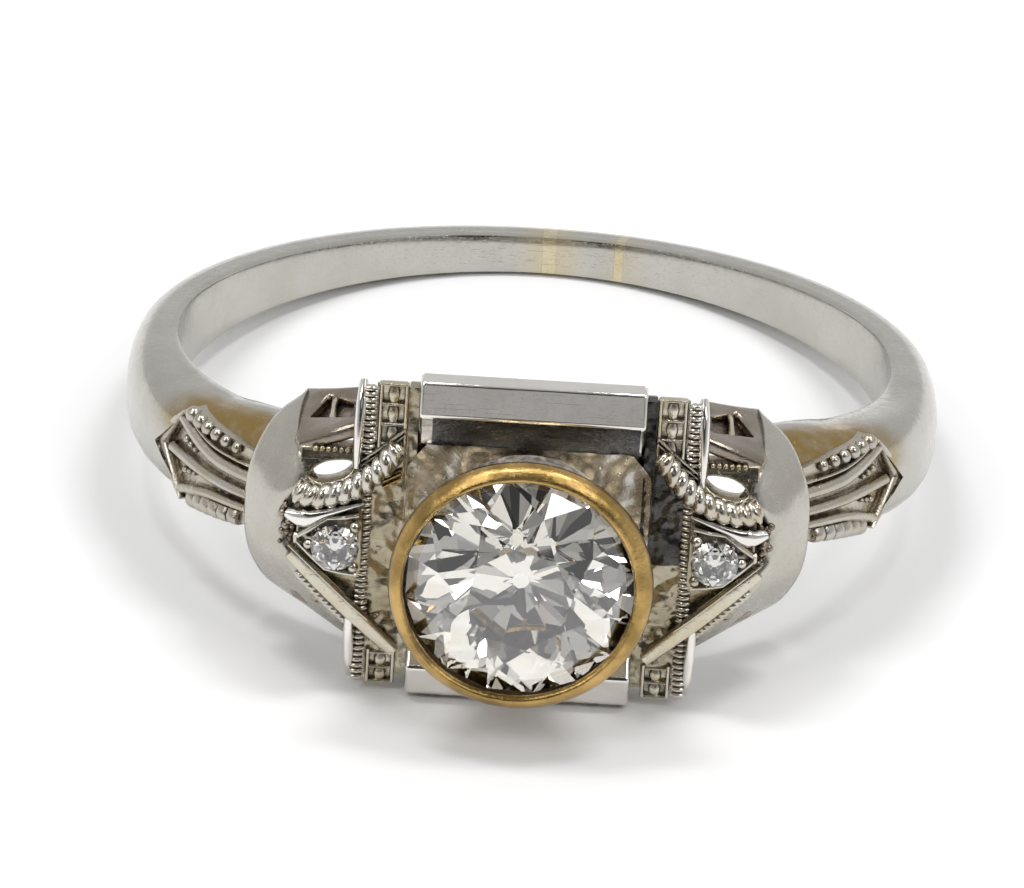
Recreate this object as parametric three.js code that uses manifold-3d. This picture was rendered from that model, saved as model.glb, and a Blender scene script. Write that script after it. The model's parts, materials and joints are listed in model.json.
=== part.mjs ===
// Art Deco engagement ring: a round diamond in a yellow gold collet, carried by a white gold head
// between two pierced shoulders, on a slim shank that has been cut and enlarged at the back.
//
// Millimetres. Every piece is modelled in the "face frame" of the ring, whose origin is the centre
// of the finger hole: u runs across the head, v runs along the finger, w points out through the
// stone. The end of the file lays that frame down in the ring's resting pose, +Z up.
import * as THREE from 'three';
import { ConvexGeometry } from 'three/addons/geometries/ConvexGeometry.js';
import { mergeVertices } from 'three/addons/utils/BufferGeometryUtils.js';
import Module from 'manifold-3d';

const wasm = await Module();
wasm.setup();

// ---------- driving dimensions ----------
const FINGER_R = 8.65; // 17.3 mm finger hole
const JOINT = 0.02; // film of solder between neighbouring pieces

const SHANK_THICK = 1.1; // at the back
const SHANK_SWELL = 0.45; // added thickness at the shoulders
const SHANK_HALF_BACK = 0.5; // half the shank's width at the back
const SHANK_HALF_SHOULDER = 1.42; // and at the shoulders
const SHANK_START = 36; // degrees from the head, hidden in the saddle
const SHOULDER_ANGLE = 48; // degrees from the head where the shank reaches its full width
const SEAM_A = { at: 178.2, width: 2.2 }; // sizing seams, degrees
const SEAM_B = { at: 166.4, width: 1.5 };
const SEAM_JOINT = 0.12; // degrees

const FAN_START = 40.5; // degrees from the head
const FAN_WIDE = 53;
const FAN_TIP = 60.5;
const FAN_HALF_START = 1;
const FAN_HALF_WIDE = 1.32;
const FAN_FLOOR_R = 9.75;
const FAN_TOP_R = 9.88;
const FAN_RIB_R = 10.08;
const FAN_RISE = 0.4; // how much further out the fan's face is at the saddle
const FAN_RIB_HALF = 0.13;
const FAN_RIB_BURIED = 0.05; // how far above the fan's underside the ribs start
const FAN_STEPS = 14;

const SADDLE_IN = 5.36; // u of the saddle's inner edge
const SADDLE_TILT = 51; // degrees between the saddle's front and the head's front
const SADDLE_FRONT = 10.62; // distance of the saddle's front from the finger axis
const SADDLE_HALF = 2.62;
// Facets of its rounded front: half the width, and how far the surface has dropped there.
const SADDLE_FACETS = [[SADDLE_HALF, 1.5], [2.45, 0.9], [2.1, 0.58], [1.45, 0.28], [0.6, 0]];
const SADDLE_HOLLOW_HALF = SHANK_HALF_SHOULDER + JOINT;

const WALL_IN = 2.22; // v of the gallery walls
const WALL_OUT = 2.62;
const HEAD_FLOOR = 9.0; // w of the underside of the head
const PANEL_IN = 3.86; // u of the shoulder panels
const PANEL_OUT = SADDLE_IN - JOINT;
const PANEL_UNDER = 9.3;
const PANEL_CREST = 10.1;
const PANEL_MID = { v: 1.1, w: 9.95 };
const PANEL_EDGE = 9.6;
const PANEL_RIDGE = 0.3; // half the width of the flat along its crest

const EYE = { u: 4.58, v: 1.46, halfU: 0.52, halfV: 0.33 }; // piercings through the panel

const PLATE_HALF_U = 2.83;
const PLATE_HALF_V = 3.7;
const PLATE_STEP = 9.48; // seat of the bars
const PLATE_TOP = 9.8; // floor round the collet
const BAR_HALF_U = 2.61;
const BAR = { foot: 2.2, out: 3.93, ridge: 3.24, under: 9.5, shoulder: 10.09, top: 10.35, cove: 9.78 };
const BAR_CORNER = 0.12;

const STRIP_IN = 2.86; // ladder strips beside the head
const STRIP_OUT = 3.56;
const STRIP_TOP = 9.95;
const STRIP_HALF = 3.78;
const STRIP_SLOPE = 0.4; // how much shorter the strips and rails are underneath
const RUNG_PITCH = 0.4;
const RUNG_HOLE = 0.24;
const RUNG_DEPTH = 0.12;
const RUNGS = 4;
const RAIL_IN = 3.58; // milled rails outside the strips
const RAIL_OUT = 3.84;
const RAIL_TOP = 10.0;
const RAIL_HALF = 3.68;

const SCROLL_W = 10.3; // height of the upper rope scrolls' centre line
const SCROLL_R = 0.28;
const SCROLL_LOW_R = 0.2;
const HORN = [10.13, 10.42]; // underside and top of the horns
const EDGE_BAR_HALF = 0.13;

const ACCENT_U = 4.38;
const ACCENT_R = 0.56;
const ACCENT_HOLE_R = 0.42;
const ACCENT_GIRDLE = 10.56;
const PLAQUE_UNDER = PANEL_CREST + JOINT;
const PLAQUE_TOP = 10.44;
const BEAD_R = 0.1;

const STONE_R = 2.65;
const STONE_GIRDLE = 12.15; // w of the girdle's middle
const COLLET_HOLE_R = 2.12;

// ---------- materials ----------
const metal = (color, roughness) => new THREE.MeshStandardMaterial({ color, roughness, metalness: 1 });
const whiteGold = metal(0xcfccc4, 0.12);
const castGold = metal(0xbdb8a8, 0.32);
const yellowGold = metal(0xd9a43a, 0.2);
const solder = metal(0xd8c48a, 0.3);
const diamond = new THREE.MeshStandardMaterial({ color: 0xf4f6f8, roughness: 0.02, metalness: 0 });

// ---------- helpers ----------
const rad = THREE.MathUtils.degToRad;
const smooth = (t) => THREE.MathUtils.smoothstep(t, 0, 1);
const face = new THREE.Group();

// A geometry as a manifold solid, from its merged positions.
function solid(geometry) {
  const bare = new THREE.BufferGeometry();
  bare.setAttribute('position', geometry.getAttribute('position'));
  bare.setIndex(geometry.index);
  const merged = mergeVertices(bare, 1e-4);
  return new wasm.Manifold(new wasm.Mesh({
    numProp: 3,
    vertProperties: merged.attributes.position.array,
    triVerts: new Uint32Array(merged.index.array),
  }));
}

// A manifold solid as a geometry.
function geometryOf(made) {
  const mesh = made.getMesh();
  const geometry = new THREE.BufferGeometry();
  geometry.setAttribute('position', new THREE.BufferAttribute(mesh.vertProperties, 3));
  geometry.setIndex(new THREE.BufferAttribute(mesh.triVerts, 1));
  return geometry;
}

// Adds one named piece. Signs of -1 mirror it to the other side of the head.
function add(name, made, material, signU = 1, signV = 1) {
  const mesh = new THREE.Mesh(geometryOf(made), material);
  mesh.name = name;
  mesh.scale.set(signU, signV, 1);
  face.add(mesh);
}

// A prism along one axis. Its outline is in (v, w) along u, in (u, w) along v, in (u, v) along w.
const PRISM_AXES = {
  u: [[0, 1, 0], [0, 0, 1], [1, 0, 0]],
  v: [[1, 0, 0], [0, 0, 1], [0, -1, 0]],
  w: [[1, 0, 0], [0, 1, 0], [0, 0, 1]],
};
function prismGeometry(axis, outline, from, to) {
  const shape = new THREE.Shape(outline.map(([a, b]) => new THREE.Vector2(a, b)));
  const made = new THREE.ExtrudeGeometry(shape, { depth: to - from, bevelEnabled: false });
  made.translate(0, 0, axis === 'v' ? -to : from);
  const basis = PRISM_AXES[axis].map((direction) => new THREE.Vector3(...direction));
  return made.applyMatrix4(new THREE.Matrix4().makeBasis(...basis));
}
const prism = (axis, outline, from, to) => solid(prismGeometry(axis, outline, from, to));
const block = (u, v, w) => prism('w', [[u[0], v[0]], [u[1], v[0]], [u[1], v[1]], [u[0], v[1]]], w[0], w[1]);

// An outline from its right half, with the left half mirrored.
const mirrored = (half) => [...half, ...half.map(([a, b]) => [-a, b]).reverse()];

// A closed solid through convex cross-sections that all have the same number of points.
function loft(sections) {
  const n = sections[0].length;
  const last = (sections.length - 1) * n;
  const index = [];
  for (let start = 0; start < last; start += n) {
    for (let i = 0; i < n; i++) {
      const a = start + i;
      const b = start + ((i + 1) % n);
      index.push(a, b, b + n, a, b + n, a + n);
    }
  }
  for (let i = 1; i < n - 1; i++) {
    index.push(0, i + 1, i, last, last + i, last + i + 1);
  }
  const geometry = new THREE.BufferGeometry();
  geometry.setAttribute('position', new THREE.Float32BufferAttribute(sections.flat(2), 3));
  geometry.setIndex(index);
  return solid(geometry);
}

// A cross-section in (v, radius), swept round the finger between two angles from the head.
function sweep(from, to, steps, sectionAt) {
  const sections = [];
  for (let i = 0; i <= steps; i++) {
    const angle = from + ((to - from) * i) / steps;
    const point = ([v, r]) => [r * Math.sin(rad(angle)), v, r * Math.cos(rad(angle))];
    sections.push(sectionAt(angle).map(point));
  }
  return loft(sections);
}
const band = (half, inner, outer) => [[half, inner], [half, outer], [-half, outer], [-half, inner]];

// A drum round the finger axis, to cut with.
const drum = (radius) => solid(new THREE.CylinderGeometry(radius, radius, 12, 90));

// A bar of one section along a smooth curve through (u, v, w) points.
function wire(points, outline, steps) {
  const extrudePath = new THREE.CatmullRomCurve3(points.map((point) => new THREE.Vector3(...point)));
  const shape = new THREE.Shape(outline.map(([a, b]) => new THREE.Vector2(a, b)));
  return solid(new THREE.ExtrudeGeometry(shape, { extrudePath, steps, bevelEnabled: false }));
}

// Points of an ellipse, for outlines and for rings of gem corners.
function ellipse(centre, radii, count, turn = 0) {
  return Array.from({ length: count }, (_, i) => {
    const t = rad(turn + (360 * i) / count);
    return [centre[0] + radii[0] * Math.cos(t), centre[1] + radii[1] * Math.sin(t)];
  });
}

// ---------- shank ----------
function shankHalfWidth(angle) {
  const t = Math.min(1, Math.abs(180 - angle) / (180 - SHOULDER_ANGLE));
  return SHANK_HALF_BACK + (SHANK_HALF_SHOULDER - SHANK_HALF_BACK) * t ** 1.6;
}

// D section: flat towards the finger, upright polished sides, domed outside.
function shankSection(angle) {
  const thick = SHANK_THICK + SHANK_SWELL * smooth((95 - angle) / 35);
  const half = shankHalfWidth(angle);
  const dome = [[1, 0], [1, 0.5], [0.84, 0.8], [0.45, 0.96]];
  const side = dome.map(([a, b]) => [half * a, FINGER_R + thick * b]);
  return [...side, [0, FINGER_R + thick], ...side.map(([a, b]) => [-a, b]).reverse()];
}

// Half the height of the fan at an angle.
function fanHalf(angle) {
  if (angle < FAN_WIDE) {
    return THREE.MathUtils.mapLinear(angle, FAN_START, FAN_WIDE, FAN_HALF_START, FAN_HALF_WIDE);
  }
  return THREE.MathUtils.mapLinear(angle, FAN_WIDE, FAN_TIP, FAN_HALF_WIDE, 2 * JOINT);
}

function shankArm(end) {
  const arm = sweep(SHANK_START, end, 24, shankSection);
  const fanPocket = sweep(FAN_START - 1, FAN_TIP + 0.3, FAN_STEPS, (angle) => (
    band(fanHalf(angle) + 0.1, FAN_FLOOR_R, FAN_FLOOR_R + 1)
  ));
  const saddleSeat = sweep(SHANK_START - 2, FAN_START, 3, () => band(3, FAN_FLOOR_R, FAN_FLOOR_R + 1));
  return arm.subtract(fanPocket).subtract(saddleSeat);
}

function buildShank() {
  const seamA = [SEAM_A.at - SEAM_A.width / 2, SEAM_A.at + SEAM_A.width / 2];
  const seamB = [SEAM_B.at - SEAM_B.width / 2, SEAM_B.at + SEAM_B.width / 2];
  const leftEnd = 360 - seamA[1] - SEAM_JOINT;
  add('shank_left', shankArm(leftEnd), whiteGold, -1);
  add('shank_right', shankArm(seamB[0] - SEAM_JOINT), whiteGold);
  add('solder_seam_left', sweep(...seamA, 1, shankSection), solder);
  add('solder_seam_right', sweep(...seamB, 1, shankSection), solder);
  const insertEnds = [seamB[1] + SEAM_JOINT, seamA[0] - SEAM_JOINT];
  add('sizing_insert', sweep(...insertEnds, 3, shankSection), whiteGold);
}

// ---------- shoulder fan: a chevron-ended plate with three ribs ----------
function fan() {
  const floor = FAN_FLOOR_R + JOINT;
  const rise = (angle) => FAN_RISE * smooth((FAN_TIP - angle) / (FAN_TIP - FAN_START));
  let made = sweep(FAN_START, FAN_TIP, FAN_STEPS, (angle) => (
    band(fanHalf(angle), floor, FAN_TOP_R + rise(angle))
  ));
  for (const place of [-0.62, 0, 0.62]) {
    const rib = (angle) => {
      const centre = place * fanHalf(Math.min(angle, FAN_WIDE));
      const section = band(FAN_RIB_HALF, floor + FAN_RIB_BURIED, FAN_RIB_R + rise(angle));
      return section.map(([v, r]) => [v + centre, r]);
    };
    const ribEnd = place === 0 ? FAN_TIP - 3 : FAN_WIDE + 0.5;
    made = made.add(sweep(FAN_START, ribEnd, 6, rib));
  }
  return made;
}

// ---------- saddle: a polished strap over the junction of shank and shoulder ----------
function saddle() {
  const sideView = [[SADDLE_IN, 6], [6.5, 8.05], [6.63, 8.72], [6.3, 11], [SADDLE_IN, 11]];
  const silhouette = prism('v', sideView, -SADDLE_HALF, SADDLE_HALF);
  const facets = SADDLE_FACETS.map(([half, drop]) => [half, SADDLE_FRONT - drop]);
  const rounded = mirrored([[SADDLE_HALF, 6], ...facets]);
  const front = solid(prismGeometry('u', rounded, -8, 1).rotateY(rad(SADDLE_TILT)));
  const shankTop = FAN_FLOOR_R + JOINT;
  const inside = mirrored([[SADDLE_HOLLOW_HALF, 5], [SADDLE_HOLLOW_HALF, shankTop]]);
  const hollow = solid(prismGeometry('u', inside, -8, -3.2).rotateY(rad(SADDLE_TILT)));
  const roomHalf = [-SADDLE_HOLLOW_HALF, SADDLE_HOLLOW_HALF];
  const shankRoom = drum(shankTop).intersect(block([4, 8], roomHalf, [4, 11]));
  return silhouette.intersect(front).subtract(hollow).subtract(shankRoom).subtract(drum(FINGER_R));
}

// ---------- shoulder: pierced panel, walls, scrolls, leaves and plaque ----------
const accentHole = () => prism('w', ellipse([ACCENT_U, 0], [ACCENT_HOLE_R, ACCENT_HOLE_R], 12), 9, 11);

function shoulderPanel() {
  const half = WALL_IN - JOINT;
  const outline = mirrored([
    [half, PANEL_UNDER],
    [half, PANEL_EDGE],
    [PANEL_MID.v, PANEL_MID.w],
    [PANEL_RIDGE, PANEL_CREST],
  ]);
  let made = prism('u', outline, PANEL_IN, PANEL_OUT);
  for (const side of [-1, 1]) {
    made = made.subtract(prism('w', ellipse([EYE.u, side * EYE.v], [EYE.halfU, EYE.halfV], 12), 9, 11));
  }
  return made.subtract(accentHole());
}

function galleryWall() {
  const window = prism('v', [[3.96, 8], [4.79, 7.95], [5.13, 9.08], [4.22, 9.18]], 2, 3);
  const wall = block([PANEL_IN, PANEL_OUT], [WALL_IN, WALL_OUT], [6.5, PANEL_EDGE - 0.05]);
  return wall.subtract(window).subtract(drum(FINGER_R));
}

function galleryPost() {
  return block([4.52, 4.68], [WALL_IN + 0.1, WALL_OUT - 0.1], [8.0, 9.1]);
}

function ropeScrollUpper() {
  const points = [[5.28, 1.05], [4.75, 0.98], [4, 1.28], [3.42, 1.78], [2.98, 2.38]];
  return wire(points.map(([u, v]) => [u, v, SCROLL_W]), ellipse([0, 0], [SCROLL_R, SCROLL_R], 8), 10);
}

// The lower rope lies on the slope outside the edge bar.
function ropeScrollLower() {
  const points = [[5.26, -1.2, 10.15], [4.6, -1.8, 9.98], [3.95, -2.38, 9.82]];
  return wire(points, ellipse([0, 0], [SCROLL_LOW_R, SCROLL_LOW_R], 8), 6);
}

// A polished horn between the upper rope and the plaque, wide at the saddle.
function horn() {
  const outline = [[5.26, 0.24], [5.26, 0.62], [4.7, 0.66], [3.92, 0.92], [3.92, 0.84], [4.6, 0.56]];
  return prism('w', outline.reverse(), ...HORN);
}

// A straight polished bar from the saddle, over the rail, to the corner of the head.
function edgeBar() {
  const points = [[5.26, -0.6, 10.2], [3.95, -1.87, 10.18], [2.95, -2.82, 10.15]];
  const section = mirrored([[EDGE_BAR_HALF, -EDGE_BAR_HALF], [EDGE_BAR_HALF, EDGE_BAR_HALF]]);
  return wire(points, section, 4);
}

function accentPlaque() {
  const outline = [[3.9, -0.74], [4.6, -0.5], [5.15, -0.05], [5.15, 0.05], [4.6, 0.5], [3.9, 0.74]];
  let made = prism('w', outline, PLAQUE_UNDER, PLAQUE_TOP);
  made = made.subtract(accentHole());
  for (const [u, v] of [[3.94, 0.56], [3.94, -0.56], [5.05, 0]]) {
    const bead = new THREE.SphereGeometry(BEAD_R, 8, 6);
    made = made.add(solid(bead.translate(u, v, PLAQUE_TOP + BEAD_R / 2)));
  }
  return made;
}

// ---------- stones ----------
// A brilliant through its rings of corners: table, crown, girdle, pavilion and culet.
function brilliant(u, radius, girdle, girdleHalf, crown, pavilion) {
  const rings = [
    { count: 8, turn: 0, r: 0.45, w: crown },
    { count: 8, turn: 22.5, r: 0.77, w: crown * 0.56 },
    { count: 16, turn: 0, r: 1, w: girdleHalf },
    { count: 16, turn: 0, r: 1, w: -girdleHalf },
    { count: 8, turn: 22.5, r: 0.3, w: -pavilion * 0.8 },
    { count: 8, turn: 0, r: 0.06, w: -pavilion },
  ];
  const corners = rings.flatMap(({ count, turn, r, w }) => {
    const ring = ellipse([u, 0], [r * radius, r * radius], count, turn);
    return ring.map(([a, b]) => new THREE.Vector3(a, b, girdle + w));
  });
  return solid(new ConvexGeometry(corners));
}

const accentDiamond = () => brilliant(ACCENT_U, ACCENT_R, ACCENT_GIRDLE, 0.02, 0.16, 0.36);
const centerDiamond = () => brilliant(0, STONE_R, STONE_GIRDLE, 0.05, 0.85, 2.1);

// ---------- head ----------
function headPlate() {
  const half = [-PLATE_HALF_U, PLATE_HALF_U];
  const seat = block(half, [-PLATE_HALF_V, PLATE_HALF_V], [HEAD_FLOOR, PLATE_STEP]);
  const floorHalf = BAR.foot - JOINT;
  const raised = block(half, [-floorHalf, floorHalf], [HEAD_FLOOR, PLATE_TOP]);
  const hole = prism('w', ellipse([0, 0], [COLLET_HOLE_R, COLLET_HOLE_R], 32), 8, 11);
  return seat.add(raised).subtract(hole);
}

function headBar() {
  const outline = [
    [BAR.foot, BAR.under],
    [BAR.out, BAR.under],
    [BAR.out, BAR.shoulder],
    [BAR.ridge, BAR.top],
    [BAR.foot + 0.1, BAR.cove],
    [BAR.foot, BAR.cove],
  ];
  const bar = prism('u', outline, -BAR_HALF_U, BAR_HALF_U);
  const plan = mirrored([
    [BAR_HALF_U, 2],
    [BAR_HALF_U, BAR.out - BAR_CORNER],
    [BAR_HALF_U - BAR_CORNER, BAR.out],
  ]);
  return bar.intersect(prism('w', plan, 9, 11));
}

function underGallery() {
  const wall = block([-RAIL_OUT, RAIL_OUT], [WALL_IN, WALL_OUT], [7, HEAD_FLOOR - JOINT]);
  return wall.subtract(drum(FINGER_R));
}

// A strip along v whose ends slope in towards its underside.
function slopedStrip(from, to, half, top) {
  const outline = mirrored([[half - STRIP_SLOPE, HEAD_FLOOR], [half, top]]);
  return prism('u', outline, from, to);
}

function ladderStrip() {
  let made = slopedStrip(STRIP_IN, STRIP_OUT, STRIP_HALF, STRIP_TOP);
  const middle = (STRIP_IN + STRIP_OUT) / 2;
  for (const side of [-1, 1]) {
    for (let i = 0; i < RUNGS; i++) {
      const v = side * (STRIP_HALF - RUNG_PITCH * (i + 0.6));
      const hole = [-RUNG_HOLE / 2, RUNG_HOLE / 2];
      const pit = block(hole.map((a) => a + middle), hole.map((a) => a + v), [STRIP_TOP - RUNG_DEPTH, 11]);
      made = made.subtract(pit);
    }
  }
  return made;
}

const milledRail = () => slopedStrip(RAIL_IN, RAIL_OUT, RAIL_HALF, RAIL_TOP);

// Tapered cup whose rolled rim is rubbed over the stone's girdle.
function collet() {
  const outside = [[2, 8.8], [2.08, 9.9], [2.4, 11], [2.9, 12.1], [3.04, 12.3], [3, 12.43], [2.86, 12.5]];
  const rim = [[2.66, 12.5], [2.57, 12.42], [2.57, 12.38], [2.7, 12.24], [2.7, 12.06]];
  const inside = [[2.44, 11.8], [1.84, 10.4], [1.8, 8.8]];
  const profile = [...outside, ...rim, ...inside, outside[0]].map(([r, w]) => new THREE.Vector2(r, w));
  return solid(new THREE.LatheGeometry(profile, 48).rotateX(Math.PI / 2));
}

// ---------- assembly ----------
buildShank();
for (const [side, signU] of [['left', -1], ['right', 1]]) {
  add(`shoulder_fan_${side}`, fan(), castGold, signU);
  add(`saddle_${side}`, saddle(), whiteGold, signU);
  add(`shoulder_panel_${side}`, shoulderPanel(), castGold, signU);
  add(`accent_plaque_${side}`, accentPlaque(), whiteGold, signU);
  add(`accent_diamond_${side}`, accentDiamond(), diamond, signU);
  add(`ladder_strip_${side}`, ladderStrip(), castGold, signU);
  add(`milled_rail_${side}`, milledRail(), whiteGold, signU);
  for (const [level, signV] of [['upper', 1], ['lower', -1]]) {
    add(`gallery_wall_${level}_${side}`, galleryWall(), castGold, signU, signV);
    add(`gallery_post_${level}_${side}`, galleryPost(), whiteGold, signU, signV);
  }
  add(`rope_scroll_upper_${side}`, ropeScrollUpper(), whiteGold, signU);
  add(`rope_scroll_lower_${side}`, ropeScrollLower(), whiteGold, signU);
  add(`horn_${side}`, horn(), whiteGold, signU);
  add(`edge_bar_${side}`, edgeBar(), whiteGold, signU);
}
for (const [level, signV] of [['upper', 1], ['lower', -1]]) {
  add(`head_bar_${level}`, headBar(), whiteGold, 1, signV);
  add(`under_gallery_${level}`, underGallery(), castGold, 1, signV);
}
add('head_plate', headPlate(), castGold);
add('collet', collet(), yellowGold);
add('center_diamond', centerDiamond(), diamond);

// ---------- resting pose ----------
// The ring lies on the lower edge of its back and on the lower bar of the head, which props the
// head up. The box round it then starts at z = 0, with its middle on the Z axis.
const propUp = Math.atan2(BAR.out - SHANK_HALF_BACK, BAR.under + FINGER_R + SHANK_THICK / 2);
face.rotation.x = Math.PI / 2 - propUp;
const ring = new THREE.Group();
ring.add(face);
const bounds = new THREE.Box3().setFromObject(ring, true);
const middle = bounds.getCenter(new THREE.Vector3());
ring.position.set(-middle.x, -middle.y, -bounds.min.z);

export default ring;
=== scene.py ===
# Looks for the Art Deco engagement ring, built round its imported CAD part.
#
# Shapes are written in the ring's face frame, in millimetres: u across the head, v along the
# finger, w out through the stone, from the centre of the finger hole. FACE takes them to the
# row frame in metres; it comes from the flat on the lower bar, which the record states.
import json
import math
import random

import bmesh
import bpy
from mathutils import Matrix, Vector, noise


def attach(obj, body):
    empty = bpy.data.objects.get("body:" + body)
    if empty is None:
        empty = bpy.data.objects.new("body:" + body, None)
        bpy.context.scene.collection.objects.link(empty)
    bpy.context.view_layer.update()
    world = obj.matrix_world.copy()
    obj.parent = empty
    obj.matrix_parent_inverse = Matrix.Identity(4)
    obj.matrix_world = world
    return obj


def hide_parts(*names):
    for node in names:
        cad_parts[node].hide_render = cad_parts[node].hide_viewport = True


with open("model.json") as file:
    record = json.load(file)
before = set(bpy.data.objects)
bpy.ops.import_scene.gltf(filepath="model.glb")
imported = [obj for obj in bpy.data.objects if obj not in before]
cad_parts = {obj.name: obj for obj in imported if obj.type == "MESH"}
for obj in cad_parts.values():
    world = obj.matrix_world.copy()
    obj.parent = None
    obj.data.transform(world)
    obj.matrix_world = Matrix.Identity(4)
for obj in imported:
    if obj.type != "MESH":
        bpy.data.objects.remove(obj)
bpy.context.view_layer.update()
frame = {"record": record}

MM = 0.001

# ---------- driving dimensions, millimetres and degrees, as in the CAD part ----------
FINGER_R = 8.65
SHANK_THICK = 1.1
SHANK_SWELL = 0.45
SHANK_HALF_BACK = 0.5
SHANK_HALF_SHOULDER = 1.42
SHANK_CORNER = 0.07      # the soft inner corner
DOME_SHARE = 0.985       # the dome's half width as a share of the shank's
DOME_POWER = 0.75
DOME_FOOT = 0.36         # where the dome starts, as a share of the thickness
DOME_TILT = 12
SHOULDER_ANGLE = 48
SHANK_START = 36.5
SOLDER_GAP = 0.02        # degrees
SEAM_A = (177.1, 179.3)
SEAM_B = (165.65, 167.15)

FAN_START = 40.5
FAN_ROOT = 35.5
FAN_WIDE = 53
FAN_TIP = 60.5
FAN_HALF_START = 1
FAN_HALF_WIDE = 1.32
FAN_POCKET_R = 9.68
FAN_TOP_R = 9.84
FAN_RISE = 0.4

BAR_OUT = 3.93
BAR_SIDE_MID = 9.795
BAR_HALF_U = 2.61
WALL_IN = 2.22
WALL_OUT = 2.62
PANEL_IN = 3.86
PANEL_OUT = 5.36
PANEL_CROWN = 10.1
STRIP_IN = 2.86
STRIP_OUT = 3.5
STRIP_HALF = 3.78
STRIP_SLOPE = 0.4
RAIL_HALF = 3.68
RAIL_IN = 3.66
RAIL_OUT = 3.86
RAIL_PITCH = 0.145
ACCENT_U = 4.38
ACCENT_R = 0.56
ACCENT_GIRDLE = 10.56
ACCENT_V = -0.13
STONE_R = 2.66
STONE_GIRDLE = 12.15
COLLET_U = -0.06     # the collet was set a little off the middle
COLLET_V = -0.12
DISH_HOLE = 2.12
HEAD_FLOOR = 9.5         # the level that the bars and the dish stand on

random.seed(7)
SIDES = (("left", -1), ("right", 1))
LEVELS = (("upper", 1), ("lower", -1))


# ---------- the face frame ----------
def face_matrix():
    flat = next(m for m in frame["record"]["mounts"] if m["name"] == "lower_bar_side")
    u = Vector((1, 0, 0))
    v = -Vector(flat["axis"]).normalized()
    w = u.cross(v)
    origin = Vector(flat["pos_m"]) + (v * BAR_OUT - w * BAR_SIDE_MID) * MM
    turn = Matrix((u, v, w)).transposed().to_4x4()
    return Matrix.Translation(origin) @ turn @ Matrix.Scale(MM, 4)


FACE = face_matrix()


def polar(angle, v, r):
    """The face-frame point at an angle from the head, a place along the finger and a radius."""
    a = math.radians(angle)
    return (r * math.sin(a), v, r * math.cos(a))


def smooth(t):
    t = min(1, max(0, t))
    return t * t * (3 - 2 * t)


def mix(a, b, t):
    return a + (b - a) * t


def spread(count):
    """count numbers from 0 to 1."""
    return [i / (count - 1) for i in range(count)]


# ---------- mesh helpers: a shape is (points, faces) in the face frame ----------
def join(*shapes):
    points, faces = [], []
    for p, f in shapes:
        start = len(points)
        points += p
        faces += [tuple(i + start for i in face) for face in f]
    return points, faces


def mirrored(shape, sign_u=1, sign_v=1):
    points, faces = shape
    points = [(u * sign_u, v * sign_v, w) for u, v, w in points]
    if sign_u * sign_v < 0:
        faces = [tuple(reversed(f)) for f in faces]
    return points, faces


def loft(rings, closed_ends=True):
    """A skin over rings that have the same number of points."""
    n = len(rings[0])
    points = [p for ring in rings for p in ring]
    faces = []
    for s in range(len(rings) - 1):
        for i in range(n):
            a, b = s * n + i, s * n + (i + 1) % n
            faces.append((a, b, b + n, a + n))
    if closed_ends:
        faces.append(tuple(reversed(range(n))))
        faces.append(tuple(range(len(points) - n, len(points))))
    return points, faces


def along(points, ups, section_at):
    """A bar along a path. section_at(t) gives (side, up) offsets at t from 0 to 1."""
    rings = []
    last = len(points) - 1
    for i, point in enumerate(points):
        here = Vector(point)
        ahead = Vector(points[min(i + 1, last)]) - Vector(points[max(i - 1, 0)])
        ahead.normalize()
        up = Vector(ups[i])
        up = (up - ahead * up.dot(ahead)).normalized()
        side = ahead.cross(up)
        ring = [here + side * a + up * b for a, b in section_at(i / last)]
        rings.append([tuple(p) for p in ring])
    return loft(rings)


def curve(knots, count):
    """count points on a smooth curve through the knots, in a plane or in space."""
    out = []
    spans = len(knots) - 1
    for t in spread(count):
        place = t * spans
        k = min(int(place), spans - 1)
        f = place - k
        p = [Vector(knots[min(max(k + j, 0), spans)]) for j in (-1, 0, 1, 2)]
        a = 2 * p[1]
        b = p[2] - p[0]
        c = 2 * p[0] - 5 * p[1] + 4 * p[2] - p[3]
        d = 3 * p[1] - p[0] - 3 * p[2] + p[3]
        out.append(tuple((a + b * f + c * f * f + d * f ** 3) / 2))
    return out


def circle(count):
    """count directions round a circle, each as its cosine and sine."""
    turns = [2 * math.pi * i / count for i in range(count)]
    return [(math.cos(t), math.sin(t)) for t in turns]


def oval(half_width, height, count=12, power=1.0):
    """A section round its path, (side, up), anticlockwise; a lower power makes it squarer."""
    def squared(x):
        return math.copysign(abs(x) ** power, x)
    return [(half_width * squared(c), height * squared(s)) for c, s in circle(count)]


def bead(centre, radius, stretch=1.0):
    """A small ball, stretched along w."""
    rings, count = 6, 10
    points = [(centre[0], centre[1], centre[2] - radius * stretch)]
    for r in range(1, rings):
        t = math.pi * r / rings
        reach = radius * math.sin(t)
        level = centre[2] - radius * stretch * math.cos(t)
        points += [(centre[0] + reach * c, centre[1] + reach * s, level) for c, s in circle(count)]
    points.append((centre[0], centre[1], centre[2] + radius * stretch))
    top = len(points) - 1
    faces = []
    for i in range(count):
        j = (i + 1) % count
        faces.append((0, 1 + j, 1 + i))
        faces.append((top, top - count + i, top - count + j))
        for r in range(rings - 2):
            a, b = 1 + r * count + i, 1 + r * count + j
            faces.append((a, b, b + count, a + count))
    return points, faces


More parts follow.
